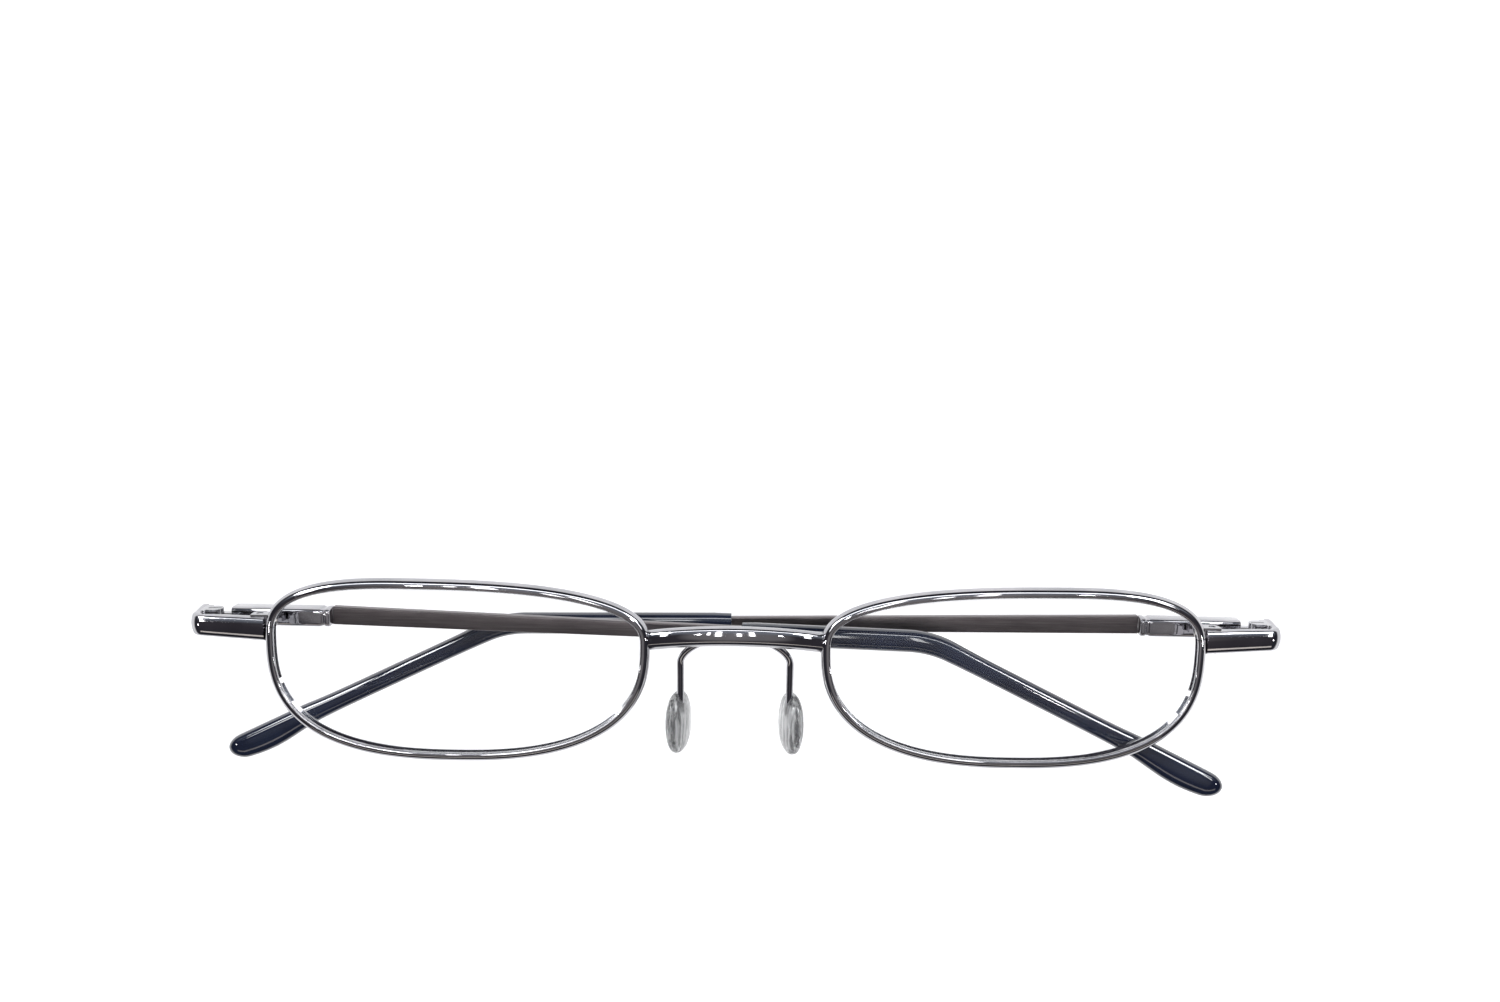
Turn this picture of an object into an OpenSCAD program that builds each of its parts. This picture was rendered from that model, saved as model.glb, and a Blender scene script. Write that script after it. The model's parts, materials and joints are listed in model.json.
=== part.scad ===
// Metal reading glasses, folded, lying on the outer side of the left temple with the front up.
// X runs to the wearer's left, Y to the brow and Z out of the front. "left" and "right" are the wearer's.
// Sizes are millimetres. Each paired piece is modelled once, for the left, and mirrored for the right.

/* [Front] */
// Clear width between the two eyewires at their closest
rim_gap = 22.9; // [21:0.1:25]
// Outside width of one eyewire
rim_w = 51.7; // [49:0.1:54]
// Outside height of one eyewire
rim_h = 25.1; // [22:0.1:29]
// How far the eyewire's centre hangs below the end pieces' centre line
rim_drop = 5.5; // [4.6:0.1:6.2]
// How far the highest point of the eyewire is shifted towards the temple
brow_shift = 4.5; // [3:0.1:7]
// Height of the widest points above the eyewire's centre
widest_rise = 3.6; // [1:0.1:4.2]
// Fullness of the corner at the brow and temple, where 2 is a plain ellipse
fullness_brow_temple = 2.75; // [2.4:0.05:3.2]
// Fullness of the corner at the brow and nose
fullness_brow_nose = 2.4; // [2.2:0.05:2.8]
// Fullness of the corner at the cheek and nose
fullness_cheek_nose = 2.6; // [2.3:0.05:2.9]
// Fullness of the corner at the cheek and temple
fullness_cheek_temple = 2.75; // [2.4:0.05:3]

/* [Eyewire] */
// Thickness of the eyewire, from the lens outwards
wire_t = 1.3; // [1.1:0.05:1.5]
// Depth of the eyewire, front to back
wire_d = 1.8; // [1.5:0.05:2.1]
// Depth of the V groove that holds the lens
groove_depth = 0.5; // [0.35:0.05:0.6]
// Width of the V groove at its mouth
groove_w = 0.9; // [0.7:0.05:1.0]
// Gap in the eyewire at the lock
lock_gap = 0.16; // [0.1:0.02:0.24]

/* [Lens] */
// Thickness of the lens at its centre
lens_centre_t = 2.6; // [2.2:0.1:3]
// Radius of the front surface
lens_front_r = 105; // [98:1:115]
// Radius of the back surface
lens_back_r = 167; // [150:1:190]
// Height of the middle of the lens above the eyewire's plane
lens_bulge = 0.7; // [0.4:0.1:1]

/* [Bridge] */
// Height of the bridge bar
bridge_h = 2.75; // [2.4:0.05:3]
// Thickness of the bridge bar
bridge_t = 1.3; // [1.1:0.1:1.6]
// How far the bridge arches up between its ends
bridge_rise = 1.7; // [1.2:0.1:2.0]
// How far the bridge bows forward between its ends
bridge_bow = 2.5; // [2:0.1:3]
// Height of the bridge's highest point above the end pieces' centre line
bridge_up = 0.05; // [-0.2:0.05:0.4]

/* [Nose pads] */
// Diameter of the pad arm's wire
arm_d = 0.76; // [0.66:0.02:0.9]
// Distance of the pad arms from the middle, where they run down
arm_x = 7.45; // [6.6:0.05:8]
// Distance from the middle at which each arm is joined to the bridge
arm_root_x = 2.8; // [2.4:0.1:3.6]
// Depth below the end pieces' centre line at which the arm's bend ends
arm_knee_drop = 5; // [4.6:0.1:5.6]
// Distance behind the eyewire's plane at which the arm's bend ends
arm_knee_back = 3; // [2.6:0.1:3.4]
// Height of a nose pad
pad_h = 8.6; // [7.6:0.1:10]
// Width of a nose pad, front to back
pad_w = 6.2; // [5.4:0.1:7]
// Thickness of a nose pad
pad_t = 2.5; // [2.1:0.1:3]
// Depth of the pad's middle below the end pieces' centre line
pad_drop = 13.8; // [13:0.1:14.4]
// Distance of the pad's middle behind the eyewire's plane
pad_back = 4.4; // [4:0.1:4.8]
// How far the pad's middle lies outside its arm
pad_out = 0.3; // [0.1:0.05:0.4]
// Turn of the pads that sets their back edges apart
pad_splay = 14; // [8:1:18]
// Lean of the pads that sets their lower ends apart
pad_lean = 4; // [2:1:8]

/* [End pieces] */
// How far each end piece reaches out beyond its eyewire
end_reach = 10.85; // [9.5:0.05:12.5]
// Height of the end piece
end_h = 3; // [2.8:0.05:3.2]
// How far the end piece's middle lies below the hinge's middle
end_low = 0.25; // [0.1:0.05:0.3]
// Thickness of the end piece
end_t = 1.3; // [1.1:0.1:1.5]
// Crown of the end piece's outer face
end_crown = 0.35; // [0.2:0.05:0.5]
// Radius of the corner, at the middle of the metal
corner_r = 1.5; // [1.2:0.1:2]
// Angle by which the end piece sweeps back from the rim
end_sweep = 7; // [4:1:9]
// How far the end piece's face lies behind the face of the eyewire
end_step = 0.1; // [0:0.05:0.2]

/* [Lock] */
// Height of the lock, its two halves together
lock_h = 2.5; // [2.2:0.1:2.5]
// Diameter of the lock's barrel
lock_d = 1.9; // [1.7:0.1:2.1]
// Diameter of the lock screw
lock_screw_d = 0.9; // [0.8:0.05:1.0]
// Diameter of the lock screw's head
lock_head_d = 1.4; // [1.2:0.05:1.5]
// Height of the lock screw's head
lock_head_h = 0.4; // [0.3:0.05:0.5]

/* [Hinge] */
// Distance of the hinge pin inside the outer face of the temple
pin_in = 2.9; // [2.8:0.05:3.1]
// Distance of the hinge pin behind the middle of the end piece's corner
pin_behind = 0.75; // [0.6:0.05:1]
// Distance from the pin to the butt of the end piece
heel = 2.0; // [1.9:0.05:2.2]
// Height of the hinge, over its three knuckles
hinge_h = 2.5; // [2.3:0.05:2.5]
// Diameter of the knuckles
knuckle_d = 2.3; // [2.1:0.05:2.4]
// Height of the tongue's knuckle
tongue_h = 1.0; // [0.8:0.05:1.1]
// Diameter of the hinge screw
screw_d = 1.1; // [1.0:0.05:1.2]
// Diameter of the hinge screw's head
head_d = 1.7; // [1.5:0.05:1.8]
// Height of the hinge screw's head
head_h = 0.35; // [0.3:0.05:0.4]
// Angle that the spring lets the temple open past its stop
flex_angle = 12; // [8:1:14]
// Diameter of the spring's wire
spring_wire = 0.3; // [0.24:0.02:0.32]
// Outside diameter of the spring
spring_d = 1.34; // [1.28:0.02:1.38]
// Turns of the spring
spring_turns = 8; // [6:1:9]
// Length of the spring, as fitted
spring_len = 4.2; // [4:0.1:4.4]
// Diameter of the tongue's rod inside the spring
rod_d = 0.6; // [0.5:0.02:0.64]

/* [Temples] */
// Length of the housing, from the butt to the end of its collar
housing_l = 13.6; // [12.8:0.1:14.4]
// Height of the housing
housing_h = 2.6; // [2.5:0.1:2.8]
// Thickness of the housing
housing_t = 2.6; // [2.5:0.05:2.65]
// Thickness of the temple bar
bar_t = 1.2; // [1.0:0.1:1.4]
// Height of the temple bar at the housing
bar_h_front = 2.5; // [2.2:0.1:2.6]
// Height of the temple bar at the tip's mouth
bar_h_back = 1.95; // [1.7:0.05:2.3]
// Distance from the hinge pin to the mouth of the plastic tip
tip_from_pin = 71.9; // [66:0.1:74]
// Distance from the hinge pin to the ear bend of the right temple, as adjusted
bend_right = 97.7; // [95:0.1:101]
// Distance from the hinge pin to the ear bend of the left temple, as adjusted
bend_left = 104.1; // [98:0.1:105]
// Length of the drop behind the ear
drop_len = 45.6; // [41:0.1:46]
// Angle of the ear bend
drop_angle = 25; // [22:0.5:29]
// Slope of the temple bars down from the hinge
temple_slope = 1.4; // [0.6:0.1:2.2]
// Radius of the ear bend
bend_r = 14; // [10:1:18]

/* [Plastic tips] */
// Height of the tip from its mouth to the bend
tip_h = 3.1; // [2.8:0.1:3.4]
// Height of the tip along the drop
tip_waist_h = 2.7; // [2.5:0.1:3]
// Height of the tip at its paddle
paddle_h = 3.95; // [3.4:0.05:4.3]
// Thickness of the tip
tip_t = 2.2; // [2:0.1:2.5]
// Height of the metal core inside the tip
core_h = 1.4; // [1.2:0.1:1.6]
// Thickness of the metal core inside the tip
core_t = 0.9; // [0.7:0.1:1.1]

/* [Fold] */
// Angle by which the right temple is folded past square, towards the lenses
overfold_right = 1.6; // [1.2:0.1:1.8]
// Angle by which the left temple stays short of square, behind the right one
underfold_left = 2.35; // [2:0.05:3]

/* [Fits] */
// Running clearance round the hinge screw
run_fit = 0.04; // [0.02:0.01:0.08]
// Clearance between pieces that are fixed together
fixed_fit = 0.01; // [0.01:0.01:0.03]
// Clearance between sliding pieces of the spring hinge
slide_fit = 0.03; // [0.02:0.01:0.05]

/* [Hidden] */
$fn = 48;
RIGHT = -1;
LEFT = 1;
gunmetal = [0.45, 0.45, 0.48];
satin_metal = [0.42, 0.40, 0.40];
steel = [0.62, 0.62, 0.64];
navy_plastic = [0.11, 0.13, 0.20];
clear_plastic = [0.82, 0.86, 0.88, 0.5];
// Overshoot that carries a cut through a face
over = 0.5;

// Places that follow from the sizes above
rim_x = rim_gap / 2 + rim_w / 2;
rim_edge_x = rim_x + rim_w / 2;
front_w = 2 * (rim_edge_x + end_reach);
pin_x = front_w / 2 - pin_in;
lock_wall = 0.05;
lock_x = rim_edge_x + lock_wall + lock_d / 2;
mid_r = 2 / (1 / lens_front_r + 1 / lens_back_r);
rim_z_side = form_z([rim_w / 2, rim_drop]);
// The lock lies behind this level and the inner end of the end piece in front of it
lock_face_z = rim_z_side + 0.05;
// Middle of the end piece's corner, where the arm meets the eyewire end_step behind the wire's face
end_turn = 90 - end_sweep;
turn_x = front_w / 2 - end_t / 2 - corner_r;
arm_run = turn_x + corner_r * cos(end_turn) - rim_edge_x;
turn_z = rim_z_side + wire_d / 2 - end_step - end_t / 2 / cos(end_sweep) - corner_r * sin(end_turn)
    - arm_run * tan(end_sweep);
pin_back = pin_behind - turn_z;

// Joins rings of points into one closed solid; each ring turns right-handed about the way to the next
function ring_wall(first, rings, n) = [for (j = [0 : rings - 2], i = [0 : n - 1])
    let (a = first + j * n + i, b = first + j * n + (i + 1) % n) each [[a, b + n, b], [a, a + n, b + n]]];
function ring_end(first, n) = [for (i = [0 : n - 1]) first + i];
function reversed(list) = [for (i = [len(list) - 1 : -1 : 0]) list[i]];
function ring_faces(rings, n) = concat(
    [ring_end(0, n)], ring_wall(0, rings, n), [reversed(ring_end((rings - 1) * n, n))]);
module skin(rings) {
    n = len(rings[0]);
    polyhedron(points = [for (r = rings) each r], faces = ring_faces(len(rings), n), convexity = 6);
}

// Point of a superellipse with half sizes a and b and fullness f
function oval(a, b, f, t) = [
    a * sign(cos(t)) * pow(abs(cos(t)), 2 / f),
    b * sign(sin(t)) * pow(abs(sin(t)), 2 / f)];

// Outline of the eyewire's outside, with +x towards the temple: one fullness for each corner
function corner_of(t) = floor((t % 360) / 90);
function corner_fullness(t) =
    [fullness_brow_temple, fullness_brow_nose, fullness_cheek_nose, fullness_cheek_temple][corner_of(t)];
function corner_x(t) = [brow_shift, brow_shift, 0, 0][corner_of(t)];
function corner_a(t) = rim_w / 2 + [-brow_shift, brow_shift, 0, 0][corner_of(t)];
function corner_b(t) = rim_h / 2 + [-widest_rise, -widest_rise, widest_rise, widest_rise][corner_of(t)];
function rim_at(t) = [corner_x(t), widest_rise] + oval(corner_a(t), corner_b(t), corner_fullness(t), t);
function unit(v) = v / norm(v);
function rim_normal(t) = let (p = 2 - 2 / corner_fullness(t)) unit([
    sign(cos(t)) * pow(abs(cos(t)), p) / corner_a(t),
    sign(sin(t)) * pow(abs(sin(t)), p) / corner_b(t)]);
// Height of the curved surface that the eyewire and the lens edge follow
function form_z(p) = lens_bulge - (p * p) / (2 * mid_r);
// Point beside the outline: u outwards from the lens side of the wire, w forwards
function rim_point(t, u, w) = let (p = rim_at(t) - (wire_t - u) * rim_normal(t))
    [p.x, p.y, form_z(p) + w];
// Turn at which the outline is y above the eyewire's centre, on the temple side above the widest point
function turn_at(y) = asin(pow((y - widest_rise) / (rim_h / 2 - widest_rise), fullness_brow_temple / 2));
// The eyewire runs from the lock's upper half round to its lower half
wire_steps = 80;
wire_first = turn_at(rim_drop + lock_gap / 2);
wire_last = 360 + turn_at(rim_drop - lock_gap / 2);
function wire_turn(i) = wire_first + (wire_last - wire_first) * i / wire_steps;
module at_rim() { translate([rim_x, -rim_drop, 0]) children(); }

// Builds a paired piece on its own side
module on_side(side) {
    translate([0, -y_middle, -z_low])
        if (side == LEFT) children(); else mirror([1, 0, 0]) children();
}

// Eyewire: a half-round wire with a V groove for the lens, cut open at the lock
wire_edge = 0.25;
wire_section = [
    [0, groove_w / 2], [0.04, wire_d / 2 - wire_edge], [wire_edge, wire_d / 2],
    [wire_t * 0.62, wire_d / 2 - 0.03], [wire_t * 0.92, wire_d * 0.3], [wire_t, 0],
    [wire_t * 0.92, -wire_d * 0.3], [wire_t * 0.62, 0.03 - wire_d / 2], [wire_edge, -wire_d / 2],
    [0.04, wire_edge - wire_d / 2], [0, -groove_w / 2], [groove_depth, 0]];
module eyewire() {
    color(gunmetal) at_rim()
        skin([for (i = [0 : wire_steps]) [for (p = wire_section) rim_point(wire_turn(i), p.x, p.y)]]);
}

// Lens: a plus lens with a bevelled edge that sits in the groove
lens_gap = 0.04;
lens_reach = 6;
function lens_ring(u, w, flat) = [for (i = [0 : wire_steps])
    let (p = rim_point(wire_turn(i), u - lens_gap, 0)) [p.x, p.y, flat ? w : p.z + w]];
module lens() {
    edge = groove_w / 2 - lens_gap;
    color(clear_plastic) at_rim() intersection() {
        skin([lens_ring(0, -lens_reach, true), lens_ring(0, -edge, false),
            lens_ring(groove_depth, 0, false), lens_ring(0, edge, false), lens_ring(0, lens_reach, true)]);
        difference() {
            translate([0, 0, lens_bulge + lens_centre_t / 2 - lens_front_r]) sphere(r = lens_front_r, $fn = 160);
            translate([0, 0, lens_bulge - lens_centre_t / 2 - lens_back_r]) sphere(r = lens_back_r, $fn = 160);
        }
    }
}

// Bar section with a crowned outer face on the +x side
module crowned(t, h, crown) {
    r = (h * h / 4 + crown * crown) / (2 * crown);
    intersection() {
        square([t, h], center = true);
        translate([t / 2 - r, 0]) circle(r = r, $fn = 96);
    }
}
// Rectangle with rounded corners
module rounded(w, h, r) {
    square([w - 2 * r, h], center = true);
    square([w, h - 2 * r], center = true);
    for (x = [-1, 1], y = [-1, 1]) translate([x * (w / 2 - r), y * (h / 2 - r)]) circle(r = r, $fn = 24);
}
// Space taken by the eyewire, seen from the front
module rim_space(clearance) {
    at_rim() translate([0, 0, -lens_reach]) linear_extrude(2 * lens_reach)
        polygon([for (i = [0 : wire_steps]) let (p = rim_point(wire_turn(i), wire_t + clearance, 0)) [p.x, p.y]]);
}

// Bridge: a crowned bar on one arc that bows forward and up, brazed between the eyewires
bridge_z = rim_z_side + bridge_bow;
bridge_chord = rim_gap + 2 * over;
bridge_sag = norm([bridge_rise, bridge_bow]);
bridge_r = (bridge_chord * bridge_chord / 4 + bridge_sag * bridge_sag) / (2 * bridge_sag);
bridge_lean = atan(bridge_rise / bridge_bow);
module bridge() {
    half = asin(bridge_chord / 2 / bridge_r) + 2;
    color(gunmetal) translate([0, -y_middle, -z_low]) difference() {
        translate([0, bridge_up, bridge_z]) rotate([-bridge_lean, 0, 0]) rotate([90, 0, 0]) translate([0, -bridge_r, 0])
            rotate([0, 0, 90 - half]) rotate_extrude(angle = 2 * half, $fn = 200)
                translate([bridge_r, 0]) rotate(bridge_lean) crowned(bridge_t, bridge_h, end_crown);
        rim_space(fixed_fit);
        mirror([1, 0, 0]) rim_space(fixed_fit);
    }
}

// Pad arm: a wire from the back of the bridge, out and down into the pad
arm_root_gap = 0.08;
arm_root_fall = bridge_r - sqrt(bridge_r * bridge_r - arm_root_x * arm_root_x);
arm_root = [arm_root_x, bridge_up - bridge_h / 5,
    bridge_z - arm_root_fall * cos(bridge_lean) - bridge_t / 2 - arm_d / 2 - arm_root_gap];
arm_root_pull = [1.9, -0.7, -0.5];
arm_knee = [arm_x, -arm_knee_drop, -arm_knee_back];
// The arm ends this far above the pad's middle and in front of it
arm_end_above = 1.4;
arm_end_front = 0.5;
arm_end = [arm_x, arm_end_above - pad_drop, arm_end_front - pad_back];
function bezier(a, b, c, d, t) =
    pow(1 - t, 3) * a + 3 * pow(1 - t, 2) * t * b + 3 * (1 - t) * t * t * c + t * t * t * d;
function arm_path(t) = t > 1 ? arm_knee + (arm_end - arm_knee) * (t - 1)
    : bezier(arm_root, arm_root + arm_root_pull, arm_knee - 0.25 * (arm_end - arm_knee), arm_knee, t);
// Ring round a path, square to its direction d, as near upright as it can be
function ring_round(c, d, r, n) =
    let (a = unit(cross(d, [0, 0, 1])), b = unit(cross(d, a)))
    [for (i = [0 : n - 1]) c + r * (cos(360 * i / n) * a + sin(360 * i / n) * b)];
module pad_arm() {
    steps = [for (i = [0 : 12]) i / 12, 1.5, 2];
    color(steel) skin([for (t = steps)
        ring_round(arm_path(t), unit(arm_path(t + 0.01) - arm_path(t - 0.01)), arm_d / 2, 10)]);
}

// Nose pad: a clear crowned oval that is moulded round the end of its arm
pad_rings = 12;
pad_sides = 20;
pad_fullness = 2.3;
pad_centre = [arm_x + pad_out, -pad_drop, -pad_back];
module nose_pad() {
    color(clear_plastic) difference() {
        translate(pad_centre) rotate([0, pad_splay, pad_lean]) rotate([90, 0, 0])
            skin([for (j = [0 : pad_rings])
                let (v = -90 + (j + 0.5) * 180 / (pad_rings + 1), s = pow(cos(v), 0.75))
                [for (i = [0 : pad_sides - 1])
                    let (p = oval(pad_t / 2 * s, pad_w / 2 * s, pad_fullness, 360 * i / pad_sides))
                    [p.x, p.y, pad_h / 2 * sin(v)]]]);
        along(arm_knee, arm_end) cylinder(d = arm_d + 2 * run_fit, h = norm(arm_end - arm_knee) + run_fit);
    }
}
// Turns the z axis to run from one point to another
module along(from, to) {
    d = to - from;
    translate(from) rotate([0, acos(d.z / norm(d)), atan2(d.y, d.x)]) children();
}

// Lock: two half barrels on the ends of the eyewire, drawn together by a screw from below
module lock_half(top) {
    low = top ? lock_gap / 2 : -lock_h / 2;
    z = lock_face_z - lock_d / 2;
    color(gunmetal) difference() {
        translate([0, low, 0]) rotate([-90, 0, 0]) linear_extrude(lock_h / 2 - lock_gap / 2) {
            translate([lock_x, -z]) circle(d = lock_d);
            translate([lock_x - lock_d, -z - lock_d / 2]) square([lock_d, lock_d]);
            translate([lock_x - lock_d, -z - lock_d / 2]) square([1.5 * lock_d, lock_d / 2]);
        }
        rim_space(fixed_fit);
        translate([lock_x, -lock_h, z]) rotate([-90, 0, 0]) cylinder(d = lock_screw_d + 2 * fixed_fit, h = 2 * lock_h);
        translate([lock_x, -lock_h / 2 - over, z]) rotate([-90, 0, 0])
            cylinder(d = lock_head_d + 2 * fixed_fit, h = over + lock_head_h + fixed_fit);
    }
}
module lock_screw() {
    color(steel) translate([lock_x, -lock_h / 2, lock_face_z - lock_d / 2]) rotate([-90, 0, 0]) difference() {
        union() {
            cylinder(d = lock_head_d, h = lock_head_h);
            cylinder(d = lock_screw_d, h = lock_h - 0.1);
        }
        screw_slot(lock_head_d);
    }
}
module screw_slot(d) { translate([-d, -0.12, -over]) cube([2 * d, 0.24, over + 0.15]); }

// Turns a plan drawn in x and y, with its height along z, so that the plan's y becomes the front's Z
module in_plan() { rotate([90, 0, 0]) children(); }

// End piece: a crowned bar from the eyewire's edge that sweeps back, turns the corner and ends in the butt
// Angle by which the corner runs into the arm, so that they are one piece
seam_angle = 0.1;
// Room left beside the lock's barrel
lock_room = 0.1;
module end_piece() {
    arm_l = (arm_run + wire_t) / cos(end_sweep);
    leg_l = turn_z + pin_back + heel;
    color(gunmetal) difference() {
        in_plan() translate([turn_x, turn_z, end_low]) {
            translate([corner_r, 0, 0]) rotate([90, 0, 0]) linear_extrude(leg_l) crowned(end_t, end_h, end_crown);
            rotate_extrude(angle = end_turn + seam_angle) translate([corner_r, 0]) crowned(end_t, end_h, end_crown);
            rotate([0, 0, end_turn]) translate([corner_r, 0, 0]) rotate([-90, 0, 0])
                linear_extrude(arm_l) crowned(end_t, end_h, end_crown);
        }
        rim_space(fixed_fit);
        translate([rim_edge_x - over, -end_h, lock_face_z + fixed_fit - end_t])
            cube([lock_x + lock_d / 2 + lock_room - rim_edge_x + over, 2 * end_h, end_t]);
    }
}

// Hinge leaf: two knuckles on a plate that is brazed to the leg of the end piece
leaf_t = 0.8;
leaf_front = 2.6;
leaf_back = 1.5;
// Plan of the room inside the end piece's corner, seen from the pin
module corner_room() {
    r = corner_r - end_t / 2 - fixed_fit;
    c = [pin_in - end_t / 2 - corner_r, pin_behind];
    out = [cos(end_turn), sin(end_turn)];
    far = 3 * knuckle_d;
    translate(c) circle(r = r, $fn = 96);
    polygon([c, c + [r, 0], c + [r, -far], c - [far, far], c + r * out + far * [-out.y, out.x], c + r * out]);
}
module hinge_leaf() {
    wall = pin_in - end_t - fixed_fit;
    color(steel) in_plan() translate([pin_x, -pin_back, 0]) difference() {
        translate([0, 0, -hinge_h / 2]) linear_extrude(hinge_h) intersection() {
            union() {
                circle(d = knuckle_d);
                translate([0, -knuckle_d / 2]) square([wall, knuckle_d]);
                translate([wall - leaf_t, -leaf_back]) square([leaf_t, leaf_front + leaf_back]);
            }
            corner_room();
        }
        translate([0, 0, -tongue_h / 2 - slide_fit]) linear_extrude(tongue_h + 2 * slide_fit) {
            circle(d = knuckle_d + 2 * slide_fit);
            translate([-knuckle_d, -leaf_back - over]) square([knuckle_d + pin_in, leaf_back + over]);
        }
        cylinder(d = screw_d + 2 * fixed_fit, h = 2 * hinge_h, center = true);
        translate([0, 0, -hinge_h / 2 - over]) cylinder(d = head_d + 2 * fixed_fit, h = over + head_h + fixed_fit);
    }
}
module hinge_screw() {
    color(steel) in_plan() translate([pin_x, -pin_back, -hinge_h / 2]) difference() {
        union() {
            cylinder(d = head_d, h = head_h);
            cylinder(d = screw_d, h = hinge_h);
        }
        screw_slot(head_d);
    }
}

// Temple frame: origin on the hinge pin, x along the temple, y inwards and z up
module in_temple(side) {
    angle = side == LEFT ? -underfold_left : overfold_right;
    on_side(side) translate([pin_x, 0, -pin_back]) rotate([0, angle, 0]) rotate([90, 0, 180]) children();
}

// Parts of the spring hinge lie in a row along the tongue
cell_y = -(pin_in - housing_t / 2);
cell_w = 1.5;
cell_h = 1.64;
// At full flex the end piece's outer edge lies this far along the temple, and the housing is drawn back with it
flex_reach = pin_in * sin(flex_angle) + heel * cos(flex_angle);
block_from = flex_reach + 0.05;
block_l = 1.9;
stop_l = 0.9;
cap_l = 0.5;
neck_l = 1.6;
stop_from = block_from + block_l + 0.02;
spring_from = stop_from + stop_l + 0.02;
cap_from = spring_from + spring_len + 0.02;
cell_end = cap_from + cap_l + flex_reach - heel + 0.1;

// The neck clears the end piece's inner edge at full flex
neck_out = (pin_in - end_t) * cos(flex_angle) - heel * sin(flex_angle) - 0.06;
// Tongue: the middle knuckle, its neck, a block that slides in the housing and the rod through the spring
module hinge_tongue() {
    color(steel) difference() {
        union() {
            translate([0, 0, -tongue_h / 2]) {
                cylinder(d = knuckle_d, h = tongue_h);
                translate([0, -neck_out, 0]) cube([block_from + neck_l / 2, neck_out, tongue_h]);
            }
            translate([block_from, cell_y - cell_w / 2 + slide_fit, slide_fit - cell_h / 2])
                cube([block_l, cell_w - 2 * slide_fit, cell_h - 2 * slide_fit]);
            translate([block_from, cell_y, 0]) rotate([0, 90, 0]) cylinder(d = rod_d, h = cap_from + cap_l - block_from);
        }
        cylinder(d = screw_d + 2 * run_fit, h = 2 * hinge_h, center = true);
    }
}
// Stop: a plate fixed in the housing, which the rod runs through and the spring pushes on
module spring_stop() {
    color(steel) translate([stop_from, cell_y, 0]) difference() {
        translate([0, fixed_fit - cell_w / 2, fixed_fit - cell_h / 2])
            cube([stop_l, cell_w - 2 * fixed_fit, cell_h - 2 * fixed_fit]);
        translate([-over, 0, 0]) rotate([0, 90, 0]) cylinder(d = rod_d + 2 * run_fit, h = stop_l + 2 * over);
    }
}
// Cap: a washer riveted on the end of the rod, which holds the spring
module spring_cap() {
    color(steel) translate([cap_from, cell_y, 0]) rotate([0, 90, 0]) difference() {
        cylinder(d = spring_d, h = cap_l);
        translate([0, 0, -over]) cylinder(d = rod_d + 2 * fixed_fit, h = cap_l + 2 * over);
    }
}
// Spring: one open coil between the stop and the cap
spring_steps = 10;
spring_sides = 6;
module hinge_spring() {
    r = (spring_d - spring_wire) / 2;
    rise = spring_len - spring_wire;
    total = spring_turns * spring_steps;
    color(steel) translate([spring_from + spring_wire / 2, cell_y, 0])
        skin([for (i = [0 : total])
            let (a = 360 * i / spring_steps, out = [0, cos(a), sin(a)])
            [for (k = [0 : spring_sides - 1]) let (b = 360 * k / spring_sides)
                [rise * i / total, 0, 0] + out * r + spring_wire / 2 * (cos(b) * out - [sin(b), 0, 0])]]);
}

// Housing: a rounded box with the cell for the spring, bevelled to a neck and a collar at the bar
housing_edge = 0.5;
collar_l = 0.8;
waist_l = 0.35;
bevel_l = 0.4;
tenon_l = 1.2;
tenon_t = 0.8;
tenon_h = 1.4;
housing_from = heel + 0.02;
housing_to = heel + housing_l;
bar_y = -(pin_in - bar_t / 2);
// Section of the housing, from one place along the temple to another, smaller all round by inset
module housing_run(from, to, inset) {
    translate([from, cell_y, 0]) rotate([90, 0, 90]) linear_extrude(to - from)
        rounded(housing_t - 2 * inset, housing_h - 2 * inset, housing_edge - inset);
}
module hinge_housing() {
    body_to = housing_to - collar_l - waist_l;
    color(gunmetal) difference() {
        union() {
            housing_run(housing_from, body_to - bevel_l, 0);
            housing_run(body_to - bevel_l, body_to, 0.12);
            housing_run(body_to, housing_to - collar_l, 0.3);
            housing_run(housing_to - collar_l, housing_to, 0.08);
        }
        translate([heel - over, cell_y - cell_w / 2, -cell_h / 2]) cube([cell_end - heel + over, cell_w, cell_h]);
        translate([heel - over, cell_y, -tongue_h / 2 - slide_fit])
            cube([block_from + neck_l / 2 + slide_fit - heel + over, housing_t, tongue_h + 2 * slide_fit]);
        translate([housing_to - tenon_l - fixed_fit, bar_y - tenon_t / 2 - fixed_fit, -tenon_h / 2 - fixed_fit])
            cube([tenon_l + over, tenon_t + 2 * fixed_fit, tenon_h + 2 * fixed_fit]);
    }
}

// Temple path: level with the slope to the bend, round it, and straight down the drop
function bend_start(side) = (side == LEFT ? bend_left : bend_right) - housing_to - bend_r * tan(drop_angle / 2);
bend_arc = bend_r * drop_angle * PI / 180;
function path_end(side) = bend_start(side) + bend_arc + drop_len - bend_r * tan(drop_angle / 2);
function path_turn(side, u) = min(max((u - bend_start(side)) / bend_arc, 0), 1) * drop_angle;
function path_point(side, u) = let (a = path_turn(side, u), past = max(u - bend_start(side) - bend_arc, 0))
    [min(u, bend_start(side)) + bend_r * sin(a) + past * cos(a), -bend_r * (1 - cos(a)) - past * sin(a)];
// Section at u along the path: up and down from the path's line, and in and out
function path_ring(side, u, up, down, half_t, fullness, n) =
    let (a = path_turn(side, u), c = path_point(side, u))
    [for (i = [0 : n - 1]) let (q = oval(half_t, 1, fullness, 360 * (i + 0.5) / n), h = q.y * (q.y > 0 ? up : down))
        [c.x + h * sin(a), q.x, c.y + h * cos(a)]];
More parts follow.
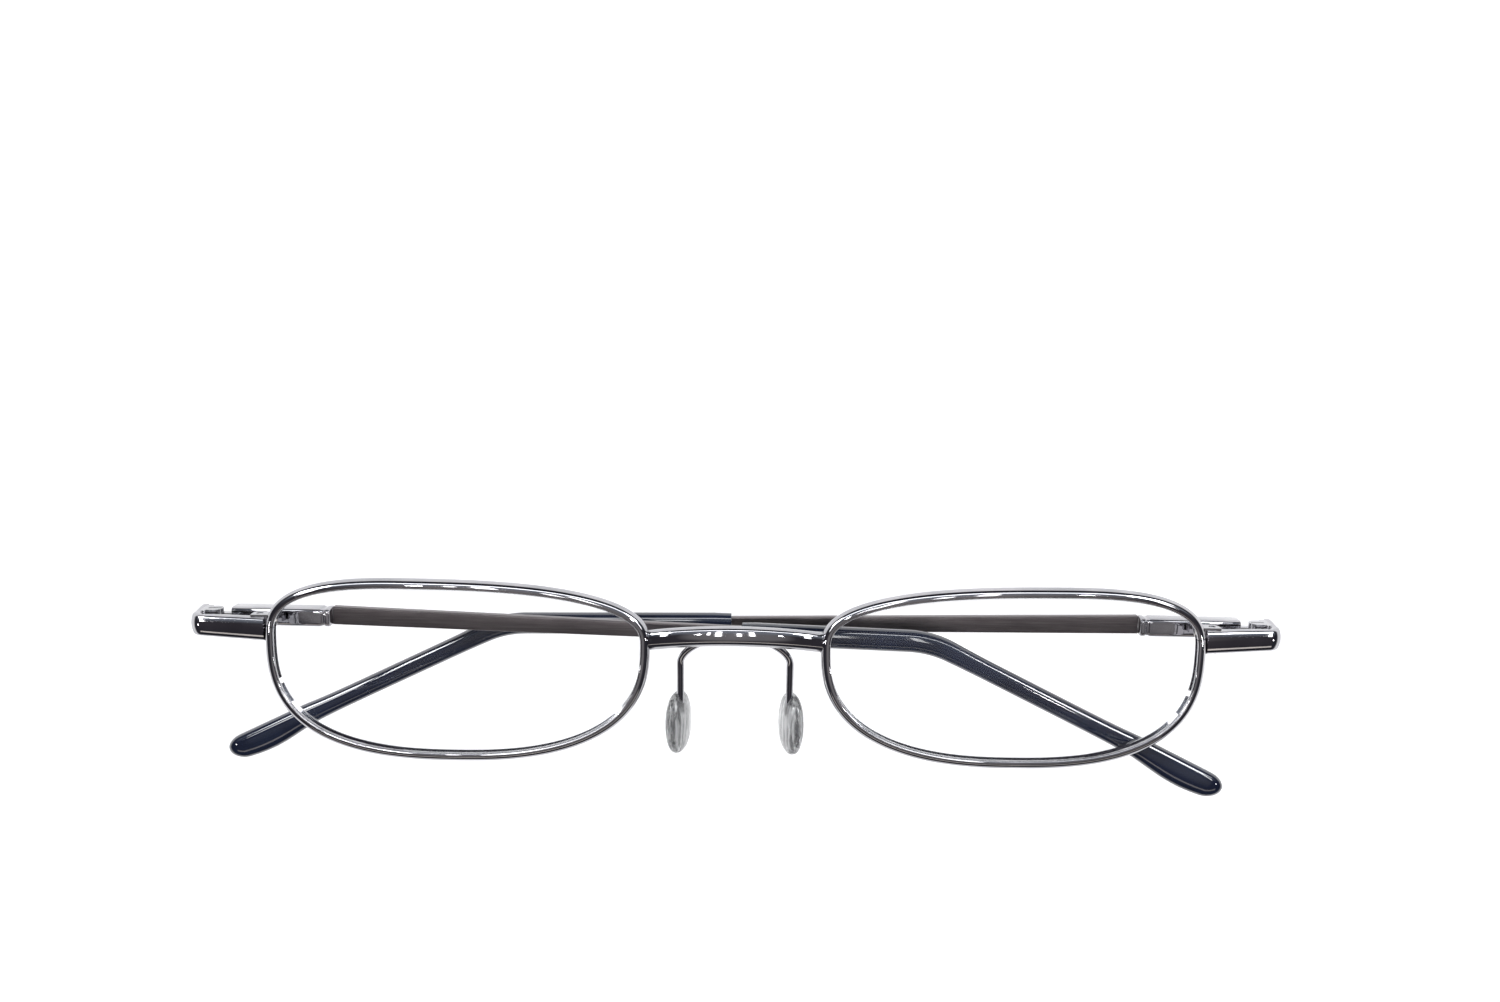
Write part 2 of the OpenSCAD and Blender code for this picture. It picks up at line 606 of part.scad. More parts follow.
// Turns the path's frame down by the slope, at the end of the housing
module on_slope() { translate([housing_to, bar_y, 0]) rotate([0, temple_slope, 0]) children(); }
function on_slope_point(p) = [
    housing_to + p.x * cos(temple_slope) + p.z * sin(temple_slope), bar_y + p.y,
    -p.x * sin(temple_slope) + p.z * cos(temple_slope)];

mouth = (tip_from_pin - housing_to) / cos(temple_slope);
core_short = 7;
bar_gap = 0.03;
bar_fullness = 5;
function bend_stations(side, n) = [for (i = [0 : n]) bend_start(side) + bend_arc * i / n];
module temple_bar(side) {
    sides = 8;
    stations = concat([mouth], bend_stations(side, 7), [path_end(side) - core_short]);
    color(satin_metal) {
        on_slope() skin(concat(
            [path_ring(side, bar_gap, bar_h_front / 2, bar_h_front / 2, bar_t / 2, bar_fullness, sides)],
            [path_ring(side, mouth - bar_gap, bar_h_back / 2, bar_h_back / 2, bar_t / 2, bar_fullness, sides)],
            [for (u = concat([mouth - bar_gap], stations))
                path_ring(side, u, core_h / 2, core_h / 2, core_t / 2, bar_fullness, sides)]));
        translate([housing_to - tenon_l, bar_y - tenon_t / 2, -tenon_h / 2]) cube([tenon_l + 2 * bar_gap, tenon_t, tenon_h]);
    }
}

// Plastic tip: a sleeve over the core that thins along the drop and swells to a rounded paddle
tip_end_r = 2.4;
paddle_back = 6;
paddle_spread = 7;
tip_sides = 16;
tip_fullness = 2.6;
// Length behind the ear bend over which the tip thins
waist_run = 6;
function smooth(x) = let (c = min(max(x, 0), 1)) c * c * (3 - 2 * c);
function tip_height(side, u) =
    let (waist = smooth((u - bend_start(side)) / (bend_arc + waist_run)),
        d = (u - path_end(side) + paddle_back) / paddle_spread)
    tip_h + (tip_waist_h - tip_h) * waist + (paddle_h - tip_waist_h) * exp(-d * d);
// The paddle swells more below the path than above it
function tip_up(side, u) = min(tip_height(side, u), tip_h) / 2;
function tip_down(side, u) = tip_height(side, u) - tip_up(side, u);
function tip_round(side, u) = let (e = max(u - path_end(side) + tip_end_r, 0) / tip_end_r) sqrt(max(1 - e * e, 0.02));
function tip_stations(side) = concat([mouth], bend_stations(side, 7),
    [for (i = [1 : 8]) bend_start(side) + bend_arc + (drop_len - bend_r * tan(drop_angle / 2) - tip_end_r) * i / 8],
    [for (a = [20, 38, 54, 68, 80]) path_end(side) - tip_end_r + tip_end_r * sin(a)]);
function tip_ring(side, u) = let (k = tip_round(side, u))
    path_ring(side, u, tip_up(side, u) * k, tip_down(side, u) * k, tip_t / 2 * k, tip_fullness, tip_sides);
// Clearance round the core, and past its end
pocket_fit = 0.06;
pocket_room = 0.3;
function pocket_ring(side, u) =
    path_ring(side, u, core_h / 2 + pocket_fit, core_h / 2 + pocket_fit, core_t / 2 + pocket_fit, bar_fullness, tip_sides);
// A sleeve closed at one end: the outside goes out along the path and the pocket comes back
module temple_tip(side) {
    pocket_end = path_end(side) - core_short + pocket_room;
    outside = [for (u = tip_stations(side)) tip_ring(side, u)];
    pocket = [for (u = concat([mouth], bend_stations(side, 7), [pocket_end])) pocket_ring(side, u)];
    n = tip_sides;
    inner = len(outside) * n;
    faces = concat(
        ring_wall(0, len(outside), n), [reversed(ring_end(inner - n, n))],
        [for (f = ring_wall(inner, len(pocket), n)) reversed(f)], [ring_end(inner + (len(pocket) - 1) * n, n)],
        [for (i = [0 : n - 1]) let (j = (i + 1) % n) each [[i, j, inner + j], [i, inner + j, inner + i]]]);
    color(navy_plastic) on_slope() polyhedron(
        points = concat([for (r = outside) each r], [for (r = pocket) each r]), faces = faces, convexity = 8);
}

// The model stands on its lowest point, and its box is centred on the origin from front to back
function temple_points(side) = [for (u = tip_stations(side), p = tip_ring(side, u)) on_slope_point(p)];
y_low = min([for (side = [RIGHT, LEFT], p = temple_points(side)) p.z]);
y_middle = (rim_h / 2 - rim_drop + y_low) / 2;
z_low = -pin_back + min([for (p = temple_points(LEFT)) p.y * cos(underfold_left) - p.x * sin(underfold_left)]);

module rim_right() { on_side(RIGHT) eyewire(); }
module rim_left() { on_side(LEFT) eyewire(); }
module lens_right() { on_side(RIGHT) lens(); }
module lens_left() { on_side(LEFT) lens(); }
module pad_arm_right() { on_side(RIGHT) pad_arm(); }
module pad_arm_left() { on_side(LEFT) pad_arm(); }
module nose_pad_right() { on_side(RIGHT) nose_pad(); }
module nose_pad_left() { on_side(LEFT) nose_pad(); }
module lock_upper_right() { on_side(RIGHT) lock_half(true); }
module lock_upper_left() { on_side(LEFT) lock_half(true); }
module lock_lower_right() { on_side(RIGHT) lock_half(false); }
module lock_lower_left() { on_side(LEFT) lock_half(false); }
module lock_screw_right() { on_side(RIGHT) lock_screw(); }
module lock_screw_left() { on_side(LEFT) lock_screw(); }
module end_piece_right() { on_side(RIGHT) end_piece(); }
module end_piece_left() { on_side(LEFT) end_piece(); }
module hinge_leaf_right() { on_side(RIGHT) hinge_leaf(); }
module hinge_leaf_left() { on_side(LEFT) hinge_leaf(); }
module hinge_screw_right() { on_side(RIGHT) hinge_screw(); }
module hinge_screw_left() { on_side(LEFT) hinge_screw(); }
module hinge_tongue_right() { in_temple(RIGHT) hinge_tongue(); }
module hinge_tongue_left() { in_temple(LEFT) hinge_tongue(); }
module spring_stop_right() { in_temple(RIGHT) spring_stop(); }
module spring_stop_left() { in_temple(LEFT) spring_stop(); }
module hinge_spring_right() { in_temple(RIGHT) hinge_spring(); }
module hinge_spring_left() { in_temple(LEFT) hinge_spring(); }
module spring_cap_right() { in_temple(RIGHT) spring_cap(); }
module spring_cap_left() { in_temple(LEFT) spring_cap(); }
module hinge_housing_right() { in_temple(RIGHT) hinge_housing(); }
module hinge_housing_left() { in_temple(LEFT) hinge_housing(); }
module temple_bar_right() { in_temple(RIGHT) temple_bar(RIGHT); }
module temple_bar_left() { in_temple(LEFT) temple_bar(LEFT); }
module temple_tip_right() { in_temple(RIGHT) temple_tip(RIGHT); }
module temple_tip_left() { in_temple(LEFT) temple_tip(LEFT); }

rim_right();
rim_left();
lens_right();
lens_left();
bridge();
pad_arm_right();
pad_arm_left();
nose_pad_right();
nose_pad_left();
lock_upper_right();
lock_upper_left();
lock_lower_right();
lock_lower_left();
lock_screw_right();
lock_screw_left();
end_piece_right();
end_piece_left();
hinge_leaf_right();
hinge_leaf_left();
hinge_screw_right();
hinge_screw_left();
hinge_tongue_right();
hinge_tongue_left();
spring_stop_right();
spring_stop_left();
hinge_spring_right();
hinge_spring_left();
spring_cap_right();
spring_cap_left();
hinge_housing_right();
hinge_housing_left();
temple_bar_right();
temple_bar_left();
temple_tip_right();
temple_tip_left();
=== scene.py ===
"""Metal reading glasses, folded: looks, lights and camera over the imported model."""
import json
import math

import bmesh
import bpy
from mathutils import Matrix, Vector


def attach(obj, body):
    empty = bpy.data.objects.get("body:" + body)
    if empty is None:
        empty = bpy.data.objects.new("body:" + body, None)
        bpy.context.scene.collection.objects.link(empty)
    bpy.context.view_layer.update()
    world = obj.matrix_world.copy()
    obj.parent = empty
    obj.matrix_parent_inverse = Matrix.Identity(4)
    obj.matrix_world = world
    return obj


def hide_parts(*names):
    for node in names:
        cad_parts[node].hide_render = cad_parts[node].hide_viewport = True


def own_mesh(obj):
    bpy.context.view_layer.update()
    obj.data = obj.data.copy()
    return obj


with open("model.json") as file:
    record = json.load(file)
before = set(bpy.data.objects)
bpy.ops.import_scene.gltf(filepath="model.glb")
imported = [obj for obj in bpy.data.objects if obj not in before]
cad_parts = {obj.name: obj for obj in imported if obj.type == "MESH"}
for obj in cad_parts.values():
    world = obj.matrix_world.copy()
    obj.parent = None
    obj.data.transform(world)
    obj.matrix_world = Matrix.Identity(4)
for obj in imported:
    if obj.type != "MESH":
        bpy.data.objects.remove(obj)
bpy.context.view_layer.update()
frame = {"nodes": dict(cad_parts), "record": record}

# Lengths are millimetres from the middle of the front, as in the part's source, and angles are degrees. x runs along
# the glasses, y up the front and z forwards. OFFSET moves them to the row's origin. For likeness a few values differ
# a little from the part's: the bridge's rise, the pads' thickness, splay and lean, and the wire of the pad arms.
MM = 0.001
OFFSET = Vector((0, 8.16734, 14.436))
SIDES = {"right": -1, "left": 1}

FRONT_W = 148
RIM_GAP, RIM_W, RIM_H, RIM_DROP = 22.9, 51.7, 25.1, 5.5
BROW_SHIFT, WIDEST_RISE = 4.5, 3.6
FULLNESS = (2.75, 2.4, 2.6, 2.75)
WIRE_T, WIRE_D, GROOVE_DEPTH, GROOVE_W, LOCK_GAP = 1.3, 1.8, 0.5, 0.9, 0.16
LENS_T, LENS_FRONT_R, LENS_BACK_R, LENS_BULGE = 2.6, 105, 167, 0.7
BRIDGE_H, BRIDGE_T, BRIDGE_RISE, BRIDGE_BOW, BRIDGE_UP = 2.75, 1.3, 1.45, 2.5, -0.2
BRIDGE_IN_RIM, BRIDGE_TOP_EDGE, BRIDGE_LOW_EDGE = 0.35, 0.6, 1.1
ARM_D, ARM_X, ARM_ROOT_X, ARM_KNEE_DROP, ARM_KNEE_BACK = 1.0, 7.45, 2.8, 5, 3
ARM_GAP, ARM_END_UP, ARM_END_FRONT = 0.08, 1.4, 0.5
PAD_H, PAD_W, PAD_T, PAD_DROP, PAD_BACK, PAD_OUT, PAD_SPLAY, PAD_LEAN = 8.6, 6.2, 2.7, 13.8, 4.4, 0.3, 18, -1
END_H, END_LOW, END_T, END_CROWN, CORNER_R, END_SWEEP, END_STEP = 3.0, 0.25, 1.3, 0.35, 1.5, 7, 0.1
END_EDGE, END_SINK, END_FLARE, LOCK_REACH, LOCK_RISE = 0.5, 0.3, 0.15, 2.05, 0.06
PIN_IN, PIN_BACK, HEEL = 2.9, 5.19302, 2.0
HOUSING_L, HOUSING_H, HOUSING_T = 13.6, 2.6, 2.6
SPRING_D, SPRING_WIRE, SPRING_TURNS, SPRING_L, SPRING_FROM, SPRING_GIVE = 1.34, 0.3, 8, 4.2, 5.44924, 0.63
BAR_T, BAR_H_FRONT, BAR_H_BACK = 1.2, 2.5, 1.95
TIP_FROM_PIN, DROP_LEN, DROP_ANGLE, SLOPE, BEND_R = 71.9, 45.6, 25, 1.4, 14
BEND = {-1: 97.7, 1: 104.1}
TIP_H, TIP_WAIST_H, PADDLE_H, TIP_T = 3.1, 2.7, 3.95, 2.2
TIP_ROUND, WAIST_RUN, PADDLE_FROM_END, PADDLE_SPREAD, LIP_L, LIP_SHARE = 2.4, 6, 6, 7, 0.35, 0.06
FOLD_TILT = {-1: 1.6, 1: -2.35}

RIM_X = RIM_GAP / 2 + RIM_W / 2
PIN_X = FRONT_W / 2 - PIN_IN
MID_R = 2 / (1 / LENS_FRONT_R + 1 / LENS_BACK_R)


def cosd(a):
    return math.cos(math.radians(a))


def sind(a):
    return math.sin(math.radians(a))


def smooth(x):
    """0 up to 0, 1 from 1 on and smooth between."""
    c = min(max(x, 0), 1)
    return c * c * (3 - 2 * c)


# ---- finishes


class Value:
    """A number that changes over a surface. Arithmetic on it adds Math nodes."""

    def __init__(self, finish, socket):
        self.finish, self.socket = finish, socket

    def math(self, operation, *values):
        return self.finish.value("ShaderNodeMath", {"operation": operation}, dict(enumerate(values)))

    def __add__(self, other):
        return self.math("ADD", self, other)

    def __sub__(self, other):
        return self.math("SUBTRACT", self, other)

    def __rsub__(self, other):
        return self.math("SUBTRACT", other, self)

    def __mul__(self, other):
        return self.math("MULTIPLY", self, other)

    def __pow__(self, other):
        return self.math("POWER", self, other)

    def above(self, low, high):
        """0 up to low, 1 from high on and smooth between."""
        return self.finish.value("ShaderNodeMapRange", {"interpolation_type": "SMOOTHSTEP"},
                                 {"Value": self, "From Min": low, "From Max": high}, "Result")

    def at_least(self, other):
        return self.math("MAXIMUM", self, other)

    __radd__, __rmul__ = __add__, __mul__


class Finish:
    """A node tree, and the few ways in which this script fills one."""

    def __init__(self, owner):
        owner.use_nodes = True
        self.owner, self.tree = owner, owner.node_tree
        self.tree.nodes.clear()

    def node(self, kind, settings, values):
        """A node of any type: its settings first, then what each socket holds or is linked to."""
        made = self.tree.nodes.new(kind)
        for key, setting in settings.items():
            if key == "stops":
                while len(made.color_ramp.elements) < len(setting):
                    made.color_ramp.elements.new(1)
                for stop, (place, colour) in zip(made.color_ramp.elements, setting):
                    stop.position, stop.color = place, (*colour, 1)
            else:
                setattr(made, key, setting)
        for key, value in values.items():
            if isinstance(value, Value):
                value = value.socket
            if isinstance(value, bpy.types.NodeSocket):
                self.tree.links.new(value, made.inputs[key])
            else:
                made.inputs[key].default_value = value
        return made

    def value(self, kind, settings, values, output=0):
        return Value(self, self.node(kind, settings, values).outputs[output])

    def place(self, stretch):
        """Where a point lies on its piece, in millimetres, each way divided by its stretch."""
        spot = self.node("ShaderNodeTexCoord", {}, {}).outputs["Object"]
        scale = [1 / (MM * s) for s in stretch]
        return self.node("ShaderNodeVectorMath", {"operation": "MULTIPLY"}, {0: spot, 1: scale}).outputs[0]

    def noise(self, stretch, detail=3, rough=0.5):
        """Soft grain from 0 to 1, with its size each way in millimetres."""
        return self.value("ShaderNodeTexNoise", {}, {
            "Vector": self.place(stretch), "Scale": 1.0, "Detail": detail, "Roughness": rough}, "Fac")

    def blend(self, mask, a, b):
        """Colour a where the mask is 0 and b where it is 1."""
        mix = self.node("ShaderNodeMix", {"data_type": "RGBA"}, {0: mask, 6: (*a, 1), 7: (*b, 1)})
        return mix.outputs[2]

    def bump(self, height, depth):
        """Relief of the given depth in millimetres."""
        made = self.node("ShaderNodeBump", {}, {"Height": height, "Distance": depth * MM, "Strength": 1.0})
        return made.outputs[0]

    def finish(self, shader):
        self.node("ShaderNodeOutputMaterial", {}, {"Surface": shader})
        return self.owner


def plated_metal(name, dark, light, low, high, grain=(0.5, 0.5, 0.5)):
    """Polished plating: faint clouding of the colour, fine wear in the gloss and a slight ripple."""
    f = Finish(bpy.data.materials.new(name))
    cloud = f.noise((6, 6, 6))
    fine = f.noise(grain, 5, 0.6)
    shader = f.node("ShaderNodeBsdfPrincipled", {}, {
        "Base Color": f.blend(cloud.above(0.3, 0.7), dark, light), "Metallic": 1.0,
        "Roughness": low + (high - low) * fine.above(0.35, 0.75),
        "Normal": f.bump(f.noise((1.6, 1.6, 1.6), 1), 0.002)})
    return f.finish(shader.outputs[0])


def brushed_bar(name):
    """Flat spring steel, drawn lengthwise: long streaks in colour, gloss and relief."""
    f = Finish(bpy.data.materials.new(name))
    streak = f.noise((14, 0.32, 0.32), 4, 0.65)
    fine = f.noise((5, 0.07, 0.07), 2, 0.6)
    cloud = f.noise((9, 4, 4))
    tone = (streak * 0.7 + cloud * 0.3).above(0.34, 0.68)
    shader = f.node("ShaderNodeBsdfPrincipled", {}, {
        "Base Color": f.blend(tone, (0.125, 0.112, 0.114), (0.20, 0.18, 0.183)), "Metallic": 1.0,
        "Roughness": 0.26 + 0.14 * fine,
        "Normal": f.bump(streak * 0.6 + fine * 0.4, 0.006)})
    return f.finish(shader.outputs[0])


def moulded_tip(name):
    """Glossy dark plastic with a little depth in its colour and softly uneven polish."""
    f = Finish(bpy.data.materials.new(name))
    cloud = f.noise((7, 5, 5))
    haze = f.noise((0.8, 0.8, 0.8), 4, 0.6)
    shader = f.node("ShaderNodeBsdfPrincipled", {}, {
        "Base Color": f.blend(cloud.above(0.3, 0.72), (0.006, 0.010, 0.025), (0.014, 0.021, 0.045)),
        "Roughness": 0.06 + 0.06 * haze.above(0.4, 0.8), "IOR": 1.55, "Coat Weight": 1.0, "Coat Roughness": 0.04,
        "Coat IOR": 1.6, "Normal": f.bump(f.noise((5, 2.2, 2.2), 1), 0.006)})
    return f.finish(shader.outputs[0])


def lets_light_by(f, shader, share):
    """Clear plastic and glass hold back little light, so their shadows are thin."""
    shadow = f.value("ShaderNodeLightPath", {}, {}, "Is Shadow Ray")
    clear = f.node("ShaderNodeBsdfTransparent", {}, {}).outputs[0]
    return f.node("ShaderNodeMixShader", {}, {0: shadow * share, 1: shader, 2: clear}).outputs[0]


def clear_pad_with_painted_reflection(name):
    """Soft clear plastic, smoky, with pale streaks down its height that are painted reflection, under a glossy skin
    that isn't quite even.
    """
    f = Finish(bpy.data.materials.new(name))
    # Painted reflection: the pale streaks in the colour stand in for light reflected down the pad's height; the smoky
    # dark is the plastic's own tone.
    streak = f.noise((0.42, 7, 0.7), 3, 0.6)
    shader = f.node("ShaderNodeBsdfPrincipled", {}, {
        "Base Color": f.blend(streak.above(0.42, 0.66), (0.09, 0.09, 0.095), (0.84, 0.85, 0.85)),
        "Roughness": 0.20 + 0.2 * streak.above(0.3, 0.7), "IOR": 1.43, "Transmission Weight": 0.85,
        "Coat Weight": 0.8, "Coat Roughness": 0.04,
        "Normal": f.bump(f.noise((0.9, 2.4, 1.2), 2), 0.05)})
    return f.finish(lets_light_by(f, shader.outputs[0], 0.5))


def lens_glass(name):
    """Clear coated lens: nothing but the gloss of its surface, stronger at a slant, and the faintest dust."""
    f = Finish(bpy.data.materials.new(name))
    dust = f.noise((0.35, 0.35, 0.35), 2, 0.5).above(0.72, 0.9)
    slant = f.value("ShaderNodeLayerWeight", {}, {"Blend": 0.5}, "Facing")
    shader = f.node("ShaderNodeBsdfPrincipled", {}, {
        "Base Color": f.blend(f.noise((22, 22, 22), 1), (0.90, 0.96, 0.98), (0.97, 0.98, 1.0)), "Metallic": 1.0,
        "Roughness": 0.01 + 0.2 * dust, "Alpha": 0.008 + 0.98 * slant ** 5 + 0.02 * dust})
    return f.finish(shader.outputs[0])


FINISHES = {
    "frame": plated_metal("gunmetal_plate", (0.40, 0.40, 0.42), (0.52, 0.51, 0.53), 0.03, 0.08),
    "steel": plated_metal("bright_steel", (0.40, 0.40, 0.41), (0.55, 0.55, 0.57), 0.10, 0.22, (0.3, 0.3, 0.3)),
    "temple": brushed_bar("satin_gunmetal"),
    "tip": moulded_tip("navy_tip"),
    "pad": clear_pad_with_painted_reflection("clear_pad_with_painted_reflection"),
    "lens": lens_glass("lens_glass"),
}
for subpart in frame["record"]["subparts"]:
    data = frame["nodes"][subpart["node"]].data
    data.materials.clear()
    data.materials.append(FINISHES[subpart["material_slot"]])


# ---- making pieces


def fillet(corners, radius, steps=4):
    """Outline with each corner rounded; radius is one number, or one for each corner."""
    out = []
    for i, corner in enumerate(corners):
        r = radius[i] if isinstance(radius, (list, tuple)) else radius
        here, before, after = Vector(corner), Vector(corners[i - 1]), Vector(corners[(i + 1) % len(corners)])
        a = here + (before - here).normalized() * min(r, (before - here).length * 0.49)
        b = here + (after - here).normalized() * min(r, (after - here).length * 0.49)
        if r < 1e-6:
            out.append(tuple(here))
            continue
        for k in range(steps + 1):
            t = k / steps
            out.append(tuple(a * (1 - t) ** 2 + here * 2 * t * (1 - t) + b * t * t))
    return out


def crowned(t, h, crown, edge, back=0.2, arc=10):
    """Bar section, t thick along its first way and h high along its second, with a crowned face and round edges."""
    r = (h * h / 4 + crown * crown) / (2 * crown)
    last = math.asin((h / 2 - edge) / (r - edge))
    slants = [last * (2 * i / arc - 1) for i in range(arc + 1)]
    face = [(t / 2 - r + r * math.cos(a), r * math.sin(a)) for a in slants]
    u, v = t / 2 - r + (r - edge) * math.cos(last), (r - edge) * math.sin(last)
    turns = [last + (math.pi / 2 - last) * i / 5 for i in range(1, 6)]
    rounded = [(u + edge * math.cos(a), v + edge * math.sin(a)) for a in turns]
    outline = [(-t / 2, -h / 2)] + [(x, -y) for x, y in reversed(rounded)] + face + rounded + [(-t / 2, h / 2)]
    return fillet(outline, [back] + [0] * (len(outline) - 2) + [back])


def box_section(w, h, edge, steps=5):
    return fillet([(-w / 2, -h / 2), (w / 2, -h / 2), (w / 2, h / 2), (-w / 2, h / 2)], edge, steps)


def oval(a, b, fullness, n):
    """Outline with half widths a and b: an ellipse at fullness 2, squarer above it."""
    out, power = [], 2 / fullness
    for i in range(n):
        t = 2 * math.pi * i / n
        c, s = math.cos(t), math.sin(t)
        out.append((math.copysign(abs(c) ** power * a, c), math.copysign(abs(s) ** power * b, s)))
    return out


def build(name, points, faces, crease=38):
    """A smooth mesh from points in millimetres; edges sharper than crease degrees stay crisp."""
    bm = bmesh.new()
    verts = [bm.verts.new((Vector(p) + OFFSET) * MM) for p in points]
    for face in faces:
        bm.faces.new([verts[i] for i in face])
    bmesh.ops.recalc_face_normals(bm, faces=bm.faces)
    for face in bm.faces:
        face.smooth = True
    for edge in bm.edges:
        if len(edge.link_faces) == 2:
            edge.smooth = edge.calc_face_angle() < math.radians(crease)
    mesh = bpy.data.meshes.new(name)
    bm.to_mesh(mesh)
    bm.free()
    made = bpy.data.objects.new(name, mesh)
    bpy.context.scene.collection.objects.link(made)
    return made


def loft(name, rings, closed=False, crease=38):
    """Skins rings of points, with a flat end on each end unless it closes on itself."""
    n = len(rings[0])
    points = [p for ring in rings for p in ring]
    faces = []
    for j in range(len(rings) if closed else len(rings) - 1):
        a, b = j * n, (j + 1) % len(rings) * n
        for i in range(n):
            k = (i + 1) % n
            faces.append((a + i, a + k, b + k, b + i))
    if not closed:
        faces.append(tuple(reversed(range(n))))
        faces.append(tuple(range(len(points) - n, len(points))))
    return build(name, points, faces, crease)


def dress(piece, body, node, slot):
    """Gives a piece its finish and its body, and lets it stand for the solid of that name."""
    piece.data.materials.append(FINISHES[slot])
    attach(piece, body)
    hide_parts(node)
    return piece


def along(points, closed=False):
    """Unit directions of a path at its points."""
    out = []
    n = len(points)
    for i in range(n):
        a = points[(i - 1) % n] if closed or i > 0 else points[0]
        b = points[(i + 1) % n] if closed or i < n - 1 else points[-1]
        out.append((b - a).normalized())
    return out


def sweep(path, section, upright, closed=False):
    """Rings of a section along a path; the section's second way stays as near upright as it can."""
    rings = []
    for p, d, s in zip(path, along(path, closed), section):
        up = (upright - upright.dot(d) * d).normalized()
        side = d.cross(up)
        rings.append([p + side * u + up * v for u, v in s])
    return rings


def bezier(a, b, c, d, n):
    """Points of the curve from a to d that b and c pull out."""
    out = []
    for i in range(n + 1):
        t = i / n
        out.append(a * (1 - t) ** 3 + b * 3 * (1 - t) ** 2 * t + c * 3 * (1 - t) * t * t + d * t ** 3)
    return out


# ---- front


def corner_of(t):
    """The quarter oval of the rim at a turn: middle's shift, half width, half height and fullness."""
    q = int(t % 360 // 90)
    return (BROW_SHIFT if q < 2 else 0, RIM_W / 2 + (-BROW_SHIFT, BROW_SHIFT, 0, 0)[q],
            RIM_H / 2 + (-WIDEST_RISE if q < 2 else WIDEST_RISE), FULLNESS[q])


def form_z(x, y):
    """How far forwards the lens's middle surface lies, x and y from the lens's middle."""
    return LENS_BULGE - (x * x + y * y) / (2 * MID_R)


def rim_point(t, inwards, forwards=0.0):
    """Point beside the eyewire's outer outline, in the left eye's place."""
    x0, a, b, f = corner_of(t)
    c, s = cosd(t), sind(t)
    x = x0 + math.copysign(abs(c) ** (2 / f) * a, c)
    y = WIDEST_RISE + math.copysign(abs(s) ** (2 / f) * b, s)
    p = 2 - 2 / f
    n = Vector((math.copysign(abs(c) ** p, c) / a, math.copysign(abs(s) ** p, s) / b)).normalized()
    x, y = x - n.x * inwards, y - n.y * inwards
    return Vector((RIM_X + x, y - RIM_DROP, form_z(x, y) + forwards))


def turn_at(y):
    """The turn at which the rim's outer side is at height y."""
    _, _, b, f = corner_of(45)
    return math.degrees(math.asin(((y + RIM_DROP - WIDEST_RISE) / b) ** (f / 2)))


def even_turns(first, last, count):
    """Turns whose points lie evenly along the eyewire."""
    fine = [first + (last - first) * i / 4000 for i in range(4001)]
    run = [0.0]
    for a, b in zip(fine, fine[1:]):
        run.append(run[-1] + (rim_point(b, 0) - rim_point(a, 0)).length)
    out, k = [], 0
    for i in range(count + 1):
        goal = run[-1] * i / count
        while k < len(run) - 2 and run[k + 1] < goal:
            k += 1
        step = run[k + 1] - run[k]
        out.append(fine[k] + (fine[k + 1] - fine[k]) * ((goal - run[k]) / step if step else 0))
    return out


def mirrored(rings, side):
    return [[Vector((side * p[0], p[1], p[2])) for p in ring] for ring in rings]


# The eyewire's front half in section, outwards from its inner side and forwards from its middle. The back half
# mirrors it, and the last point is the bottom of the lens groove.
WIRE_SECTION = ([(0.0, 0.45), (0.0, 0.62), (0.05, 0.74), (0.15, 0.83), (0.30, 0.885), (0.47, 0.9)]
                + [(0.47 + 0.83 * math.sin(a), 0.9 * math.cos(a) ** 0.86) for a in
                   [math.radians(10 * i) for i in range(1, 9)]]
                + [(WIRE_T, 0.0)])
WIRE_SECTION += [(u, -w) for u, w in reversed(WIRE_SECTION[:-1])] + [(GROOVE_DEPTH, 0.0)]


def eyewire(side, word):
    turns = even_turns(turn_at(LOCK_GAP / 2), 360 + turn_at(-LOCK_GAP / 2), 320)
    rings = [[rim_point(t, WIRE_T - u, w) for u, w in WIRE_SECTION] for t in turns]
    dress(loft("eyewire_" + word, mirrored(rings, side)), "front", "rim_" + word, "frame")


def lens(side, word):
    gap, rows, hub = 0.04, 14, 0.02
    turns = even_turns(0, 360, 240)[:-1]
    edge = [rim_point(t, WIRE_T + gap) for t in turns]
    middle = Vector((RIM_X, -RIM_DROP, 0))

    def face(share, bulge, radius):
        ring = []
        for p in edge:
            x, y = (p.x - middle.x) * share, (p.y - middle.y) * share
            z = LENS_BULGE + bulge + (math.sqrt(radius * radius - x * x - y * y) - radius)
            ring.append(Vector((middle.x + x, middle.y + y, z)))
        return ring

    shares = [hub + (1 - hub) * i / rows for i in range(rows + 1)]
    rings = [face(s, LENS_T / 2, LENS_FRONT_R) for s in shares]
    for inwards, forwards in ((0, GROOVE_W / 2 - gap), (-GROOVE_DEPTH, 0), (0, gap - GROOVE_W / 2)):
        rings.append([rim_point(t, WIRE_T + gap + inwards, forwards) for t in turns])
    rings += [face(s, -LENS_T / 2, LENS_BACK_R) for s in reversed(shares)]
    dress(loft("reading_lens_" + word, mirrored(rings, side), crease=25), "front", "lens_" + word, "lens")


BRIDGE_Z = form_z(RIM_W / 2, RIM_DROP) + BRIDGE_BOW
BRIDGE_SAG = math.hypot(BRIDGE_RISE, BRIDGE_BOW)
BRIDGE_R = ((RIM_GAP + 1) ** 2 / 4 + BRIDGE_SAG ** 2) / (2 * BRIDGE_SAG)
BRIDGE_LEAN = math.atan2(BRIDGE_RISE, BRIDGE_BOW)


